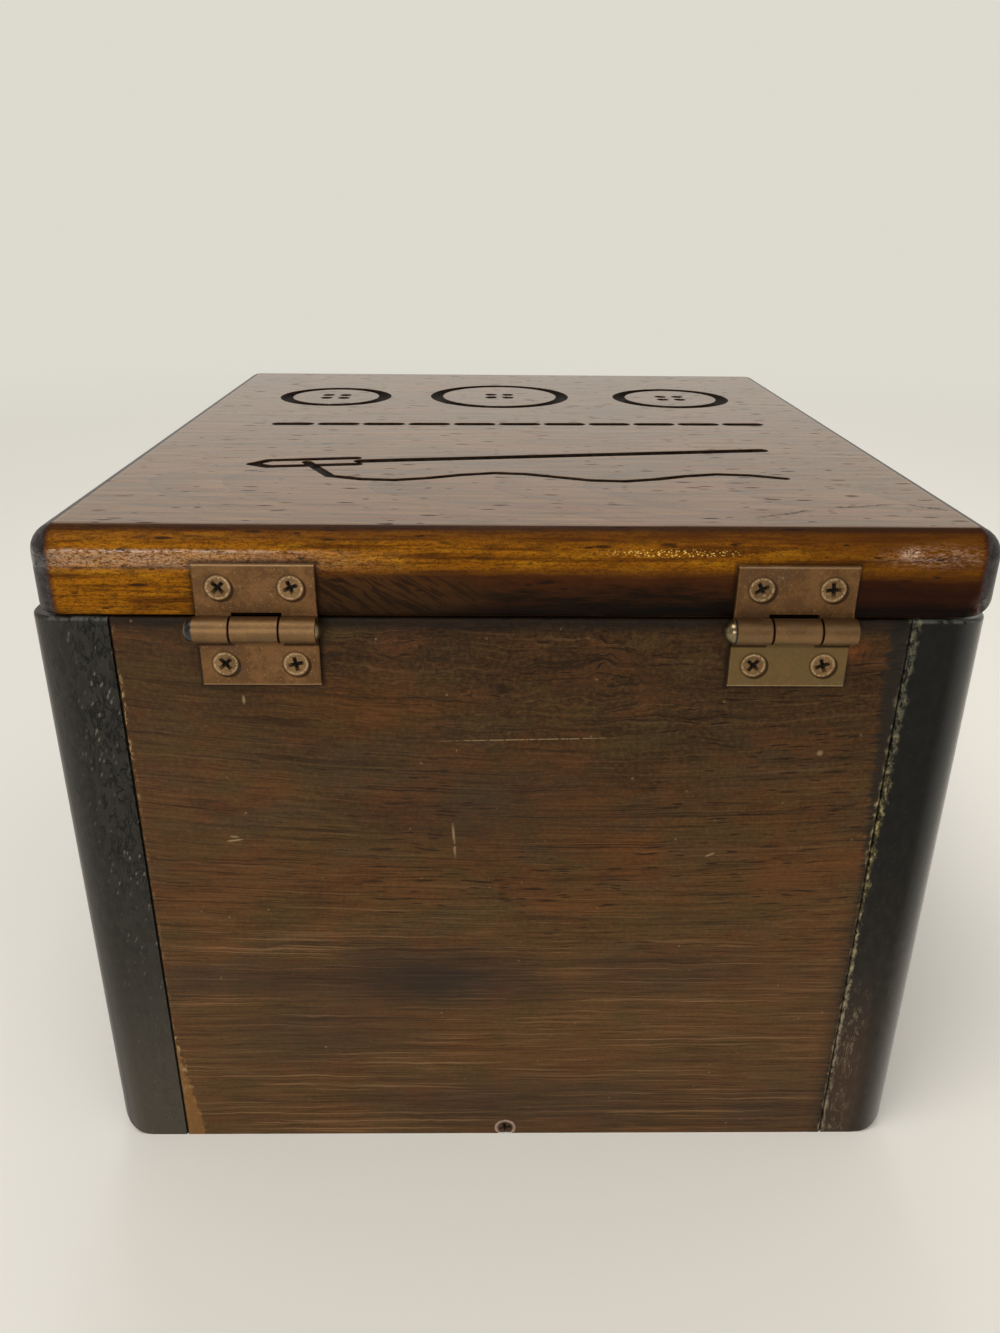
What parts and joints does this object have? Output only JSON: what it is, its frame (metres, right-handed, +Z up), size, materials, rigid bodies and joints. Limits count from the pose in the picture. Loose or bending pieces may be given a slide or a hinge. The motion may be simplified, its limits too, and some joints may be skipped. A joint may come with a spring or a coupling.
{
  "type": "sewing chest",
  "caption": "Small wooden sewing chest with a thick rounded lid on two surface-mounted butt hinges, and a compartmented tray that lifts out of it.",
  "frame": {"origin": "centre of the chest body's underside, on the surface it stands on", "axes": "+Z up; -Y towards the chest's front, +Y towards the hinged back; +X to the right for someone facing the front"},
  "size_m": [0.2064, 0.2308, 0.1677],
  "materials": {
    "side_board_wood": "dark stained hardwood under satin varnish, near black on the end grain",
    "panel_wood": "brown stained oak-like board under satin varnish, with dark pores and blotches",
    "lid_wood": "amber brown board under glossy varnish, with burnt carved grooves",
    "bottom_wood": "thinly stained board, matt underneath",
    "tray_wood": "light oiled wood",
    "hinge_brass": "antiqued brass plate, brushed and worn bright on its edges",
    "screw_brass": "brass-plated screws, slightly brighter than the hinges",
    "nail_steel": "dull steel flat-wire nails"
  },
  "bodies": {
    "chest": {"right_side_board": "side_board_wood", "left_side_board": "side_board_wood", "back_panel": "panel_wood", "front_panel": "panel_wood", "bottom_board": "bottom_wood", "right_tray_runner": "tray_wood", "left_tray_runner": "tray_wood", "right_hinge_body_leaf": "hinge_brass", "right_hinge_body_screws": "screw_brass", "left_hinge_body_leaf": "hinge_brass", "left_hinge_body_screws": "screw_brass", "bottom_screws": "screw_brass", "corner_nails": "nail_steel", "runner_brads": "nail_steel"},
    "lid": {"lid_board": "lid_wood", "right_hinge_lid_leaf": "hinge_brass", "right_hinge_pin": "hinge_brass", "right_hinge_lid_screws": "screw_brass", "left_hinge_lid_leaf": "hinge_brass", "left_hinge_pin": "hinge_brass", "left_hinge_lid_screws": "screw_brass"},
    "tray": {"tray_front": "tray_wood", "tray_back": "tray_wood", "tray_right_end": "tray_wood", "tray_left_end": "tray_wood", "tray_floor_board": "tray_wood", "tray_handle_divider": "tray_wood", "tray_back_right_divider": "tray_wood", "tray_back_left_divider": "tray_wood", "tray_front_divider": "tray_wood"}
  },
  "joints": [
    {"name": "lid_hinge", "type": "hinge", "parent": "chest", "child": "lid", "pos_m": [0, 0.11305, 0.1472], "axis": [-1, 0, 0], "range_deg": [0, 195]},
    {"name": "tray_lift", "type": "slide", "parent": "chest", "child": "tray", "axis": [0, 0, 1], "range_m": [0, 0.0115]}
  ]
}
